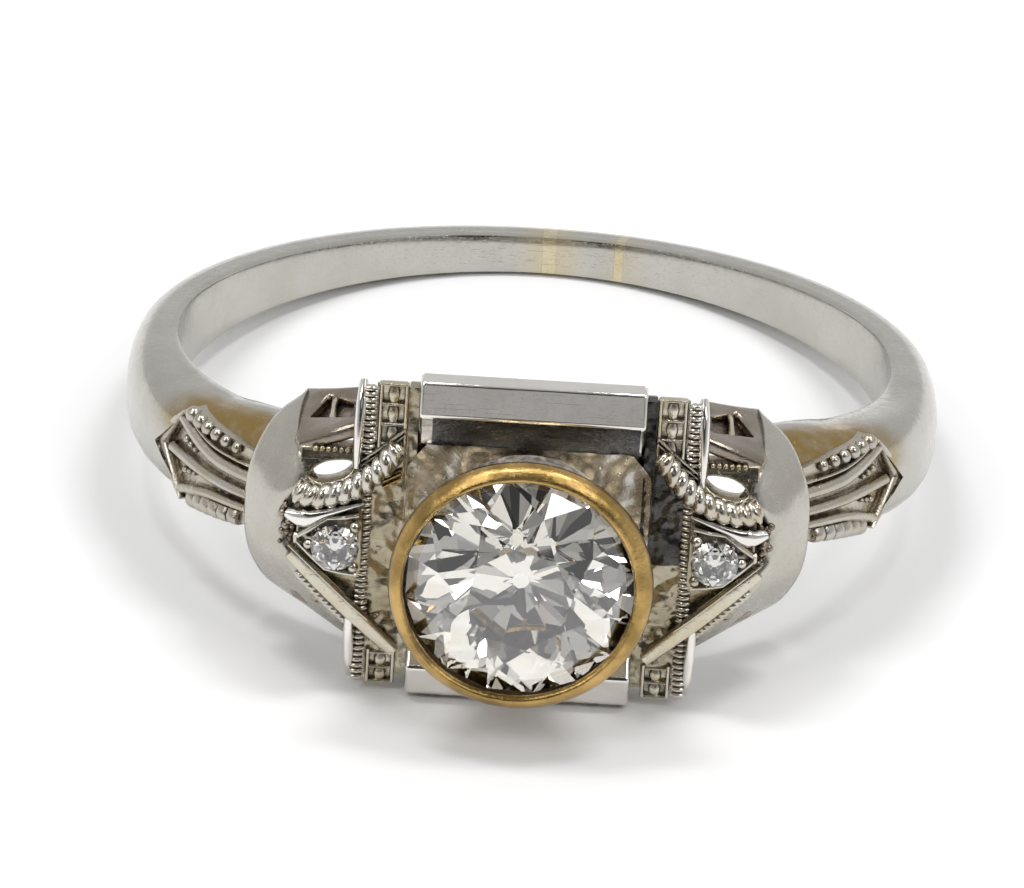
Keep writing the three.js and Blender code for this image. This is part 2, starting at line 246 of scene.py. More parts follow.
def lathe(profile, count, wobble):
    """A closed profile of (radius, w) turned round the stone's axis, a little out of round."""
    rings = []
    for i in range(count):
        a = 2 * math.pi * i / count
        push = 1 + wobble * (math.sin(3 * a + 1) + 0.6 * math.sin(7 * a) + 0.4 * math.sin(13 * a + 2))
        rings.append([(r * push * math.cos(a), r * push * math.sin(a), w) for r, w in profile])
    rings.append(rings[0])
    points, faces = loft(rings, closed_ends=False)
    points = [(u + COLLET_U, v + COLLET_V, w) for u, v, w in points]
    return points, faces


def placed(values, axes):
    """The point that has these values along the named axes."""
    point = [0, 0, 0]
    for axis, value in zip(axes, values):
        point["uvw".index(axis)] = value
    return tuple(point)


def extrude(outline, low, high, axes):
    """A prism over an outline in the first two axes, from low to high on the third."""
    points = [placed((a, b, level), axes) for level in (low, high) for a, b in outline]
    n = len(outline)
    faces = [tuple(reversed(range(n))), tuple(range(n, 2 * n))]
    for i in range(n):
        j = (i + 1) % n
        faces.append((i, j, j + n, i + n))
    return points, faces


# ---------- turning shapes into pieces of the ring ----------
def add(name, data):
    made = bpy.data.objects.new(name, data)
    bpy.context.scene.collection.objects.link(made)
    return made


def piece(name, shape, material, replaces=(), bevel=0.0, sharp=35):
    """A piece of the ring; edges steeper than sharp degrees stay crisp."""
    points, faces = shape
    mesh = bpy.data.meshes.new(name)
    mesh.from_pydata([FACE @ Vector(p) for p in points], [], faces)
    mesh.validate()
    made = add(name, mesh)
    bm = bmesh.new()
    bm.from_mesh(mesh)
    bmesh.ops.remove_doubles(bm, verts=bm.verts, dist=1e-8)
    bmesh.ops.recalc_face_normals(bm, faces=bm.faces)
    bm.to_mesh(mesh)
    bm.free()
    mesh.shade_smooth()
    mesh.set_sharp_from_angle(angle=math.radians(sharp))
    mesh.materials.append(material)
    if bevel:
        soft = made.modifiers.new("soft_edges", "BEVEL")
        soft.width = bevel * MM
        soft.segments = 3
        soft.limit_method = "ANGLE"
        soft.angle_limit = math.radians(30)
    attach(made, "root")
    if replaces:
        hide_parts(*replaces)


def plate(name, outline, holes, low, high, edge, axes="uvw"):
    """A flat plate with holes and rounded edges, as a shape."""
    data = bpy.data.curves.new(name, "CURVE")
    data.dimensions = "2D"
    data.fill_mode = "BOTH"
    data.extrude = (high - low) / 2 - edge
    data.bevel_depth = edge
    data.bevel_resolution = 2
    for loop in (outline, *holes):
        spline = data.splines.new("POLY")
        spline.points.add(len(loop) - 1)
        for point, (a, b) in zip(spline.points, loop):
            point.co = (a, b, 0, 1)
        spline.use_cyclic_u = True
    data.offset = -edge
    holder = add(name + "_curve", data)
    bpy.context.view_layer.update()
    mesh = bpy.data.meshes.new_from_object(holder)
    middle = (low + high) / 2
    points = [placed((p.co.x, p.co.y, p.co.z + middle), axes) for p in mesh.vertices]
    faces = [tuple(f.vertices) for f in mesh.polygons]
    bpy.data.objects.remove(holder)
    bpy.data.curves.remove(data)
    bpy.data.meshes.remove(mesh)
    return points, faces


# ---------- materials ----------
def socket(node, value, name):
    """Sets an input of a shader node."""
    node.inputs[name].default_value = value


class Maker:
    """Short names for the nodes of one material."""

    def __init__(self, name):
        self.material = bpy.data.materials.new(name)
        self.material.use_nodes = True
        self.tree = self.material.node_tree
        self.shader = self.tree.nodes["Principled BSDF"]
        where = self.node("ShaderNodeTexCoord")
        scale = self.node("ShaderNodeVectorMath", operation="SCALE")
        socket(scale, 1 / MM, "Scale")
        self.link(where.outputs["Object"], scale.inputs[0])
        self.mm = scale.outputs[0]

    def node(self, kind, **settings):
        made = self.tree.nodes.new(kind)
        for key, value in settings.items():
            setattr(made, key, value)
        return made

    def link(self, a, b):
        self.tree.links.new(a, b)

    def noise(self, scale, detail=4.0, stretch=(1, 1, 1), turn=(0, 0, 0), rough=0.55):
        move = self.node("ShaderNodeMapping")
        socket(move, stretch, "Scale")
        socket(move, turn, "Rotation")
        self.link(self.mm, move.inputs["Vector"])
        made = self.node("ShaderNodeTexNoise")
        socket(made, scale, "Scale")
        socket(made, detail, "Detail")
        socket(made, rough, "Roughness")
        self.link(move.outputs[0], made.inputs["Vector"])
        return made.outputs["Fac"]

    def place(self):
        """Where the surface is in the face frame, as its u, v and w in millimetres."""
        back = FACE.inverted()
        move = self.node("ShaderNodeMapping")
        socket(move, back.to_3x3().normalized().to_euler(), "Rotation")
        socket(move, back.translation, "Location")
        self.link(self.mm, move.inputs["Vector"])
        split = self.node("ShaderNodeSeparateXYZ")
        self.link(move.outputs[0], split.inputs[0])
        return split.outputs[0], split.outputs[1], split.outputs[2]

    def ramp(self, value, low, high, out_low=0.0, out_high=1.0):
        made = self.node("ShaderNodeMapRange", interpolation_type="SMOOTHSTEP")
        socket(made, low, "From Min")
        socket(made, high, "From Max")
        socket(made, out_low, "To Min")
        socket(made, out_high, "To Max")
        self.link(value, made.inputs["Value"])
        return made.outputs["Result"]

    def maths(self, operation, a, b):
        made = self.node("ShaderNodeMath", operation=operation)
        for k, value in enumerate((a, b)):
            if isinstance(value, (int, float)):
                socket(made, value, k)
            else:
                self.link(value, made.inputs[k])
        return made.outputs[0]

    def blend(self, factor, a, b):
        made = self.node("ShaderNodeMix", data_type="RGBA")
        self.link(factor, made.inputs["Factor"])
        for key, value in ((6, a), (7, b)):
            if isinstance(value, tuple):
                socket(made, (*value, 1), key)
            else:
                self.link(value, made.inputs[key])
        return made.outputs[2]

    def recess(self, distance):
        """1 deep in a recess, 0 on open metal."""
        made = self.node("ShaderNodeAmbientOcclusion", samples=6)
        socket(made, distance * MM, "Distance")
        return self.ramp(made.outputs["AO"], 0.25, 0.8, 1.0, 0.0)


def metal(name, colour, tint, roughness, grain=0.0, pits=0.0, patina_and_shade_strength=0.5, scratches=1.0,
          patina_and_shade_colour=(0.05, 0.036, 0.024), reach=0.35, stains=None):
    """Old polished or cast gold: colour drift, worn roughness, fine scratches, and its recesses darkened
    by patina with painted shade.
    """
    m = Maker(name)
    socket(m.shader, 1.0, "Metallic")
    drift = m.ramp(m.noise(0.9, 5), 0.35, 0.68)
    base = m.blend(drift, colour, tint)
    if stains:
        base = stains(m, base)
    fine = m.noise(7.0, 3)
    wear = m.ramp(fine, 0.3, 0.75, roughness * 0.65, roughness * 1.5)
    marks_a = m.ramp(m.noise(3.2, 2, (0.25, 9, 9), (0.3, 0.2, 0.5)), 0.62, 0.7)
    marks_b = m.ramp(m.noise(3.0, 2, (9, 0.3, 9), (0.1, 0.6, -0.4)), 0.64, 0.71)
    marks = m.maths("MAXIMUM", marks_a, marks_b)
    # Patina with painted shade: the recesses, found by ambient occlusion, are darkened towards the recess
    # colour.
    recess_patina_and_shade = m.recess(reach)
    blotch = m.ramp(m.noise(4.5, 5), 0.3, 0.62)
    recess_patina_and_shade = m.maths("MULTIPLY", recess_patina_and_shade, m.maths("MULTIPLY", blotch, patina_and_shade_strength))
    m.link(m.blend(recess_patina_and_shade, base, patina_and_shade_colour), m.shader.inputs["Base Color"])
    rough = m.maths("ADD", wear, m.maths("MULTIPLY", marks, 0.06 * scratches))
    rough = m.maths("ADD", rough, m.maths("MULTIPLY", recess_patina_and_shade, 0.35))
    m.link(rough, m.shader.inputs["Roughness"])
    height = m.maths("MULTIPLY", marks, -0.12 * scratches)
    height = m.maths("ADD", height, m.maths("MULTIPLY", m.noise(1.3, 2), 0.5))
    if grain:
        height = m.maths("ADD", height, m.maths("MULTIPLY", m.noise(5.5, 6, rough=0.7), grain))
    if pits:
        holes = m.ramp(m.noise(6.5, 2), 0.66, 0.76)
        height = m.maths("SUBTRACT", height, m.maths("MULTIPLY", holes, pits))
    bump = m.node("ShaderNodeBump")
    socket(bump, 1.0, "Strength")
    socket(bump, 0.012 * MM, "Distance")
    m.link(height, bump.inputs["Height"])
    m.link(bump.outputs[0], m.shader.inputs["Normal"])
    return m.material


def shank_stains(m, base):
    """Faintly yellowed round the solder seams at the back, brown beside the fans."""
    u, v, w = m.place()
    behind = m.maths("LESS_THAN", w, 0)
    for seam, reach, strength in ((SEAM_A, 1.0, 0.6), (SEAM_B, 0.7, 0.22)):
        middle = polar(sum(seam) / 2, 0, FINGER_R + SHANK_THICK / 2)[0]
        away = m.maths("ABSOLUTE", m.maths("SUBTRACT", u, middle), 0)
        near = m.ramp(away, 0.15, reach, strength, 0)
        base = m.blend(m.maths("MULTIPLY", near, behind), base, SEAM_STAIN)
    beside = m.maths("MULTIPLY", m.ramp(w, 4.5, 5.9), m.ramp(v, 0.2, 0.8))
    out = m.maths("SQRT", m.maths("ADD", m.maths("MULTIPLY", u, u), m.maths("MULTIPLY", w, w)), 0)
    beside = m.maths("MULTIPLY", beside, m.ramp(out, 8.95, 9.3))
    streaks = m.ramp(m.noise(1.8, 4), 0.25, 0.6, 0.55, 1.0)
    return m.blend(m.maths("MULTIPLY", beside, streaks), base, FAN_STAIN)


def gem(name, clear, tint, painted_glints, roughness=0.0):
    """Diamond: its true refraction, a painted warm reflection in its lower half, and a few painted glints
    of coloured fire.
    """
    m = Maker(name)
    socket(m.shader, 1.0, "Transmission Weight")
    socket(m.shader, 2.417, "IOR")
    socket(m.shader, roughness, "Roughness")
    _, v, _ = m.place()
    # Painted warm reflection: the base colour turns to the tint towards the lower half.
    lower_half_painted_warmth = m.ramp(v, 1.0, -1.2)
    cloud = m.ramp(m.noise(1.6, 3), 0.35, 0.7, 0.4, 1.0)
    warm = m.blend(m.maths("MULTIPLY", lower_half_painted_warmth, cloud), clear, tint)
    cells = m.node("ShaderNodeTexVoronoi")
    socket(cells, 1.7, "Scale")
    m.link(m.mm, cells.inputs["Vector"])
    # Painted glints: a few patches take the colour of the cells, standing for the stone's fire.
    painted_fire = m.ramp(m.noise(1.1, 1), 0.58, 0.68, 0.0, painted_glints)
    m.link(m.blend(painted_fire, warm, cells.outputs["Color"]), m.shader.inputs["Base Color"])
    return m.material


# Each metal has its colour, the tint it drifts to and its roughness first.
SEAM_STAIN = (0.6, 0.5, 0.31)
FAN_STAIN = (0.33, 0.225, 0.08)
DARK = (0.045, 0.041, 0.038)
POLISHED = metal("polished_white_gold", (0.836, 0.808, 0.764), (0.77, 0.743, 0.693), 0.1,
                 patina_and_shade_strength=0.75, scratches=0.25)
SHANK_METAL = metal("shank_white_gold", (0.508, 0.496, 0.454), (0.467, 0.451, 0.403), 0.16,
                    patina_and_shade_strength=0.3, stains=shank_stains)
CAST = metal("cast_white_gold", (0.467, 0.426, 0.326), (0.32, 0.276, 0.189), 0.15, grain=0.8,
             pits=1.2, patina_and_shade_strength=0.85, patina_and_shade_colour=(0.14, 0.115, 0.08), reach=0.25)
# Near-black, heavily scratched cast metal: a painted dark reflection on the right strip floor.
CAST_PAINTED_DARK_REFLECTION = metal("white_gold_painted_dark_reflection", (0.1, 0.095, 0.09), (0.05, 0.048, 0.046), 0.12, grain=0.8,
                  patina_and_shade_strength=1.0, patina_and_shade_colour=(0.01, 0.01, 0.01), scratches=2.5)
GALLERY = metal("gallery_white_gold", (0.36, 0.322, 0.274), (0.252, 0.209, 0.162), 0.14, grain=0.5,
                patina_and_shade_strength=0.9, patina_and_shade_colour=(0.11, 0.075, 0.055), reach=0.5)
ENGRAVED = metal("engraved_white_gold", (0.622, 0.59, 0.53), (0.521, 0.467, 0.367), 0.13, grain=0.6,
                 patina_and_shade_strength=1.0, patina_and_shade_colour=DARK, reach=0.3)
LADDER_METAL = metal("ladder_white_gold", (0.655, 0.623, 0.546), (0.554, 0.492, 0.359), 0.16, grain=1.2,
                     patina_and_shade_strength=0.75, patina_and_shade_colour=(0.12, 0.1, 0.075), reach=0.2)
WARM_METAL = metal("worn_warm_gold", (0.638, 0.599, 0.501), (0.571, 0.508, 0.37), 0.15, grain=0.7,
                   pits=0.8, patina_and_shade_strength=0.8, patina_and_shade_colour=(0.13, 0.1, 0.06), reach=0.25)
DISH_METAL = metal("dish_white_gold", (0.7, 0.69, 0.66), (0.33, 0.31, 0.27), 0.14, grain=0.8,
                   pits=1.4, patina_and_shade_strength=0.6, patina_and_shade_colour=(0.09, 0.075, 0.06), reach=0.2)
SADDLE_METAL = metal("saddle_white_gold", (0.518, 0.497, 0.446), (0.474, 0.45, 0.395), 0.22,
                     patina_and_shade_strength=0.5, scratches=0.5)
BROWN_METAL = metal("browned_white_gold", (0.42, 0.36, 0.29), (0.2, 0.15, 0.12), 0.17, grain=1.6,
                    patina_and_shade_strength=1.0, patina_and_shade_colour=(0.035, 0.025, 0.02), reach=0.35)
# Dark, pitted metal for the upper bar's hollow: a painted dark reflection.
COVE_PAINTED_DARK_REFLECTION = metal("cove_white_gold_painted_dark_reflection", (0.34, 0.34, 0.35), (0.12, 0.12, 0.13), 0.16, grain=2.2,
                  pits=3.0, patina_and_shade_strength=0.7, patina_and_shade_colour=(0.05, 0.05, 0.05), scratches=2.0)
# The fan's grooves turn dark brown: patina with painted shade.
FAN_METAL = metal("fan_white_gold", (0.504, 0.476, 0.423), (0.448, 0.401, 0.319), 0.2, grain=0.8,
                  patina_and_shade_strength=1.0, patina_and_shade_colour=(0.12, 0.075, 0.035), reach=0.22)
RAIL_METAL = metal("rail_white_gold", (0.655, 0.623, 0.562), (0.571, 0.533, 0.452), 0.15, grain=0.5,
                   patina_and_shade_strength=0.8, patina_and_shade_colour=(0.14, 0.1, 0.07), reach=0.16)
GOLD = metal("yellow_gold", (0.598, 0.392, 0.144), (0.286, 0.189, 0.063), 0.1, grain=1.5, patina_and_shade_strength=0.9,
             patina_and_shade_colour=(0.05, 0.025, 0.01))
OLD_GOLD = metal("old_yellow_gold", (0.5, 0.42, 0.3), (0.3, 0.24, 0.16), 0.2, grain=1.2, patina_and_shade_strength=0.8,
                 patina_and_shade_colour=(0.08, 0.06, 0.045))
SOLDER = metal("solder", (0.66, 0.59, 0.42), (0.6, 0.52, 0.34), 0.2, grain=0.5, patina_and_shade_strength=0.3)
# For both stones the second colour is the painted warm reflection in the lower half, and the number is the
# strength of the painted glints.
DIAMOND = gem("diamond", (0.95, 0.94, 0.91), (0.902, 0.817, 0.642), 0.14)
SMALL_DIAMOND = gem("small_diamond", (0.8, 0.782, 0.756), (0.744, 0.718, 0.666), 0.1, 0.03)


# ---------- how the two shoulders sit ----------
SHOULDER_RISE = 0.15     # the right shoulder was soldered on a little higher than the left
ARM_RISE = {-1: -0.03, 1: 0.4}     # how far each arm has bent along the finger
ARM_SQUEEZE = 0.2        # the share by which the lower half of each arm narrows
ARM_BEND = (80, 38)      # the angles between which the arms bend and narrow
ARM_FLARE = 0.14         # the share by which the upper half widens close to the saddle
FLARE_BEND = (54, 40)


def on_shoulder(shape, sign, sign_v=1):
    """Puts a piece built for the right upper side on its own side and level."""
    points, faces = mirrored(shape, sign, sign_v)
    rise = max(0, sign) * SHOULDER_RISE
    return [(u, v + rise, w) for u, v, w in points], faces


def on_arm(shape, sign):
    """The same for the arms and fans, which bend a little near the shoulders."""
    points, faces = mirrored(shape, sign)
    moved = []
    for u, v, w in points:
        angle = math.degrees(math.atan2(abs(u), w))
        near = smooth((ARM_BEND[0] - angle) / (ARM_BEND[0] - ARM_BEND[1]))
        close = smooth((FLARE_BEND[0] - angle) / (FLARE_BEND[0] - FLARE_BEND[1]))
        change = near * (ARM_RISE[sign] - ARM_SQUEEZE * min(0, v)) + close * ARM_FLARE * max(0, v)
        moved.append((u, v + change, w))
    return moved, faces


# ---------- shank ----------
def shank_half_width(angle):
    t = min(1, abs(180 - angle) / (180 - SHOULDER_ANGLE))
    return mix(SHANK_HALF_BACK, SHANK_HALF_SHOULDER, t ** 1.6)


def dome_radius(v, half, thick):
    """How far out the shank's dome is at a place across it."""
    turn = math.acos(min(1, v / (DOME_SHARE * half)) ** (1 / DOME_POWER))
    climb = math.sin(math.radians(DOME_TILT) + turn * (90 - DOME_TILT) / 90)
    return FINGER_R + thick * mix(DOME_FOOT, 1, climb)


def shank_section(angle):
    """D section: soft inner corners, upright side, a crisp line, then a dome with the fan's pocket."""
    thick = SHANK_THICK + SHANK_SWELL * smooth((95 - angle) / 35)
    half = shank_half_width(angle)
    cut = 0.3 * SHANK_CORNER
    side = [
        (0.5 * half, FINGER_R),
        (half - SHANK_CORNER, FINGER_R),
        (half - cut, FINGER_R + cut),
        (half, FINGER_R + SHANK_CORNER),
        (half, FINGER_R + 0.2 * thick),
        (half - 0.01, FINGER_R + 0.33 * thick),
    ]
    pocket = angle <= FAN_TIP
    inner = mix(0.02, 0.3 * half, smooth((angle - FAN_TIP) / 8))
    if pocket:
        inner = min(0.95 * half, max(0.02, fan_half(angle) - 0.05))
    last_turn = math.acos((inner / (DOME_SHARE * half)) ** (1 / DOME_POWER))
    for share in spread(6):
        v = DOME_SHARE * half * math.cos(share * last_turn) ** DOME_POWER
        side.append((v, dome_radius(v, half, thick)))
    for share in (0.98, 0.6, 0.3, 0):
        r = dome_radius(share * inner, half, thick)
        side.append((share * inner, min(r, FAN_POCKET_R) if pocket else r))
    return side + [(-v, r) for v, r in reversed(side[:-1])]


def shank_band(start, end):
    steps = max(2, round((end - start) / 2))
    angles = [mix(start, end, t) for t in spread(steps + 1)]
    angles += [a for a in (FAN_WIDE, FAN_TIP, FAN_TIP + 0.02) if start < a < end]
    rings = []
    for angle in sorted(angles):
        rings.append([polar(angle, v, r) for v, r in shank_section(angle)])
    return loft(rings)


def build_shank():
    left = on_arm(shank_band(SHANK_START, 360 - SEAM_A[1] - SOLDER_GAP), -1)
    piece("shank_arm_left", left, SHANK_METAL, ["shank_left"])
    right = on_arm(shank_band(SHANK_START, SEAM_B[0] - SOLDER_GAP), 1)
    piece("shank_arm_right", right, SHANK_METAL, ["shank_right"])
    insert = shank_band(SEAM_B[1] + SOLDER_GAP, SEAM_A[0] - SOLDER_GAP)
    piece("shank_insert", insert, SHANK_METAL, ["sizing_insert"])
    piece("seam_left", shank_band(*SEAM_A), SOLDER, ["solder_seam_left"])
    piece("seam_right", shank_band(*SEAM_B), SOLDER, ["solder_seam_right"])


# ---------- shoulder fans ----------
def fan_half(angle):
    if angle < FAN_WIDE:
        return mix(FAN_HALF_START, FAN_HALF_WIDE, (angle - FAN_START) / (FAN_WIDE - FAN_START))
    return mix(FAN_HALF_WIDE, 0.03, (angle - FAN_WIDE) / (FAN_TIP - FAN_WIDE))


def fan_radius(angle):
    """How far out the fan's floor is: it climbs towards the saddle."""
    return FAN_TOP_R + FAN_RISE * smooth((FAN_TIP - angle) / (FAN_TIP - FAN_START))


def fan_line(knots, half_widths, height, lift=0.0):
    """A raised line over the fan through (angle, v) knots."""
    path = curve(knots, 24)
    points = [polar(a, v, fan_radius(a) + lift) for a, v in path]
    ups = [polar(a, 0, 1) for a, _ in path]
    places = list(zip(spread(len(half_widths)), half_widths))
    return along(points, ups, lambda t: oval(path_value(places, t), height, 14, 0.85))


def fan_base():
    """The fan's plate, with its floor a little dished between the edges."""
    rings = []
    under = FAN_POCKET_R - 0.15
    for t in spread(40):
        angle = mix(FAN_ROOT, FAN_TIP, t)
        h = fan_half(angle)
        floor = fan_radius(angle)
        dished = floor - 0.02
        section = ((h, under), (h, floor), (0.5 * h, dished), (-0.5 * h, dished), (-h, floor), (-h, under))
        rings.append([polar(angle, v, r) for v, r in section])
    return loft(rings)


def build_fan(side, sign):
    """Ribs that spread to a chevron, beads along the upper edge, gadroons along the lower."""
    shapes = [fan_base()]
    for way in (1, -1):
        corner = (FAN_WIDE + 0.5, 0.91 * way * FAN_HALF_WIDE)
        middle = (57.3, 0.64 * way)
        shapes.append(fan_line([corner, middle, (FAN_TIP - 0.1, 0)], [0.05, 0.15, 0.18], 0.2, 0.06))
        shapes.append(fan_line([(FAN_ROOT, 0.4 * way), (46, 0.5 * way), (54.6, 0.98 * way)],
                               [0.14, 0.16, 0.17], 0.24))
        for k in range(3):
            shapes.append(fan_bead(54.2 - 1.3 * k, way * (0.42 - 0.05 * k), 0.11 - 0.02 * k, 0.02))
    shapes.append(fan_line([(FAN_ROOT, 0), (48, 0), (57.6, 0)], [0.13, 0.15, 0.16], 0.24))
    shapes.append(fan_line([(FAN_ROOT, 0.63), (46, 0.76), (52.4, 1.1)], [0.04, 0.05], 0.16))
    for k in range(6):
        angle = FAN_WIDE - 0.9 - 2.1 * k
        shapes.append(fan_bead(angle, fan_half(angle) - 0.1, 0.21 - 0.016 * k, 0.07))
    for k in range(6):
        shapes.append(fan_tooth(FAN_WIDE - 1.2 - 2.0 * k))
    piece(f"fan_{side}", on_arm(join(*shapes), sign), FAN_METAL,
          [f"shoulder_fan_{side}"])


def fan_bead(angle, v, size, lift):
    return bead(polar(angle, v, fan_radius(angle) + lift), size)


def fan_tooth(angle):
    """One gadroon: it runs down over the fan's lower edge."""
    edge = fan_half(angle)
    out = fan_radius(angle)
    knots = [(-0.66 * edge, out), (-0.86 * edge, out + 0.08), (-edge, out), (-1.04 * edge, out - 0.2)]
    points = [polar(angle, v, r) for v, r in curve(knots, 12)]
    up = polar(angle, -0.6, 0.8)
    return along(points, [up] * len(points), lambda t: oval(0.165, 0.1, 12, 0.7))


# ---------- saddles ----------
def path_value(knots, x):
    """A value read off straight lines between (x, value) knots."""
    for (x0, a), (x1, b) in zip(knots, knots[1:]):
        if x <= x1:
            return mix(a, b, (x - x0) / (x1 - x0))
    return knots[-1][1]


# Half of the strap, from the middle of its front to its deep end at the side: the edge towards
# the fan as (u, v, w), and the edge towards the shoulder panel, which runs into the gallery wall.
FAN_EDGE_UPPER = [
    (6.62, 0, 8.73), (6.62, 0.6, 8.7), (6.55, 1.13, 8.64), (6.42, 1.5, 8.5), (6.22, 1.86, 8.25),
    (6.0, 2.1, 8.0), (5.74, 2.26, 7.75), (5.46, 2.33, 7.4), (5.24, 2.34, 7.05)]
FAN_EDGE_LOWER = [
    (6.62, 0, 8.73), (6.6, -0.5, 8.7), (6.5, -1.05, 8.6), (6.3, -1.55, 8.45), (6.05, -1.95, 8.3),
    (5.72, -2.25, 8.15), (5.3, -2.44, 8.3), (4.8, -2.6, 8.6), (4.3, -2.76, 8.95), (3.96, -2.84, 9.15)]
PANEL_EDGE_UPPER = [
    (5.7, 0.1, 9.88), (5.7, 0.5, 9.86), (5.55, 0.86, 9.94), (5.3, 1.1, 10.02), (5.2, 1.36, 9.97),
    (5.24, 1.66, 9.86), (5.3, 1.92, 9.65), (5.37, 2.12, 9.1), (5.34, 2.27, 8.1), (5.22, 2.34, 7.05)]
PANEL_EDGE_LOWER = [
    (5.7, 0.1, 9.88), (5.66, -0.28, 9.9), (5.46, -0.62, 9.98), (5.2, -1.0, 10.0), (4.82, -1.5, 9.97),
    (4.5, -1.93, 9.85), (4.25, -2.3, 9.7), (4.08, -2.55, 9.52), (3.95, -2.76, 9.35)]
STRAP_THICK = (0.36, 0.8)     # at its ends, in its middle
STRAP_SWELL = 0.09
STRAP_SOFT = 0.16


def both_ways(upper, lower):
    """Knots down the strap from its upper deep end to its lower end."""
    return list(reversed(upper)) + lower[1:]


def saddle_skin():
    """Rings along the strap: each ring runs over its outer face and back under it."""
    stations = 73
    fan_edge = [Vector(p) for p in curve(both_ways(FAN_EDGE_UPPER, FAN_EDGE_LOWER), stations)]
    panel_edge = [Vector(p) for p in curve(both_ways(PANEL_EDGE_UPPER, PANEL_EDGE_LOWER), stations)]
    middles = [(a + b) / 2 for a, b in zip(fan_edge, panel_edge)]
    rings = []
    for i in range(stations):
        a, b = fan_edge[i], panel_edge[i]
        ahead = middles[min(i + 1, stations - 1)] - middles[max(i - 1, 0)]
        across = b - a
        width = across.length
        inward = across.cross(ahead).normalized()
        if inward.dot(middles[i]) > 0:
            inward = -inward
        thick = mix(*STRAP_THICK, smooth((1.7 - abs(middles[i].y)) / 0.5))
        ring = []
        for t in spread(15):
            near = min(t, 1 - t) * width / STRAP_SOFT
            drop = 0.1 * max(0, 1 - near) ** 2 - STRAP_SWELL * math.sin(math.pi * t)
            ring.append(a + across * t + inward * drop)
        ring.append(b + inward * thick)
        ring.append(a + inward * thick)
        rings.append([tuple(p) for p in ring])
    return loft(rings)


def build_saddle(side, sign):
    piece(f"saddle_strap_{side}", on_shoulder(saddle_skin(), sign), SADDLE_METAL,
          [f"saddle_{side}"], sharp=50)


# ---------- shoulders ----------
WALL_BORE = 8.72
WALL_FRONT = {"upper": (9.36, 9.66, 9.72), "lower": (8.9, 9.15, 9.5)}
WALL_FOOT = {"upper": 2.73, "lower": 2.62}


def panel_top(v):
    """The crowned height of the shoulder at a place along the finger."""
    crown = [(0, PANEL_CROWN), (0.3, PANEL_CROWN), (1.1, 9.95), (2.2, 9.62), (3, 9.4)]
    return path_value(crown, abs(v))


def follow_panel(shape, top_level):
    """Bends a plate made with its top at top_level over the crowned shoulder."""
    points, faces = shape
    return [(u, v, w + panel_top(v) - top_level) for u, v, w in points], faces


def oval_loop(centre, radii, count):
    return [(centre[0] + radii[0] * c, centre[1] + radii[1] * s) for c, s in circle(count)]


# The eye is the opening beside the upper rope.
EYE_KNOTS = [(5.06, 1.32), (4.96, 1.5), (4.72, 1.65), (4.4, 1.71), (4.12, 1.7), (4.08, 1.54),
             (4.24, 1.36), (4.5, 1.24), (4.86, 1.2), (5.06, 1.32)]


def build_panel(side, sign):
    rows = [v / 10 for v in range(-20, 21)]
    outline = [(min(PANEL_OUT - 0.06, 5.3 + 0.87 * (v + 0.6)), v) for v in rows]
    outline += [(PANEL_IN - 0.1, v) for v in reversed(rows)]
    holes = [
        curve(EYE_KNOTS, 40)[:-1],
        oval_loop((4.5, -1.78), (0.42, 0.2), 20),
        oval_loop((ACCENT_U, ACCENT_V), (0.42, 0.42), 20),
    ]
    skin = follow_panel(plate("panel", outline, holes, 9.45, 10.0, 0.05), 10.0)
    teeth = [bead((4.05 + 0.15 * k, 1.98, panel_top(2.0) + 0.06), 0.085, 1.2) for k in range(7)]
    piece(f"panel_{side}", on_shoulder(join(skin, *teeth), sign), CAST,
          [f"shoulder_panel_{side}"])
    # The pitted corner between the panel and the saddle's front.
    corner = [lumpy((5.3, 5.76), (-0.45, 0.75), 9.68, 9.4, 12, 30)]
    for _ in range(34):
        place = (random.uniform(5.38, 5.68), random.uniform(-0.4, 0.6), random.uniform(9.76, 9.86))
        corner.append(bead(place, random.uniform(0.04, 0.11)))
    piece(f"panel_corner_{side}", on_shoulder(join(*corner), sign), BROWN_METAL,
          sharp=60)


def build_wall(side, sign, level, sign_v):
    """A side wall with its window, the post that stands in it and the lining behind."""
    bore = [(u, math.sqrt(WALL_BORE ** 2 - u * u)) for u in (3.88, 4.25, 4.6, 4.95, 5.3)]
    front = WALL_FRONT[level]
    outline = bore + [(5.46, 7.3), (5.46, front[0]), (5.34, front[1]), (3.88, front[2])]
    window = [(4.5, 7.84), (4.7, 7.7), (4.79, 7.74), (5.11, 8.48), (5.07, 8.6), (4.2, 9.18),
              (4.1, 9.14), (4.0, 8.52), (4.05, 8.4)]
    wall = lean(plate("wall", outline, [window], WALL_IN, WALL_OUT, 0.13, "uwv"), level)
    piece(f"gallery_{level}_{side}", on_shoulder(wall, sign, sign_v), GALLERY,
          [f"gallery_wall_{level}_{side}"], sharp=50)
    path = curve([(4.58, 2.4, 7.6), (4.61, 2.46, 8.0), (4.63, 2.44, 8.5), (4.66, 2.4, 8.98)], 9)
    post = along(path, [(0, 1, 0)] * len(path), lambda t: oval(mix(0.07, 0.11, abs(2 * t - 1)), 0.1))
    piece(f"post_{level}_{side}", on_shoulder(lean(post, level), sign, sign_v), WARM_METAL,
          [f"gallery_post_{level}_{side}"])
    back = [(3.9, 7.8), (4.4, 7.52), (4.9, 7.2), (5.3, 7.1), (5.3, front[0] - 0.3), (3.9, front[1] - 0.3)]
    lining = extrude(back, WALL_OUT - 0.38, WALL_OUT - 0.3, "uwv")
    piece(f"lining_{level}_{side}", on_shoulder(lean(lining, level), sign, sign_v), BROWN_METAL)


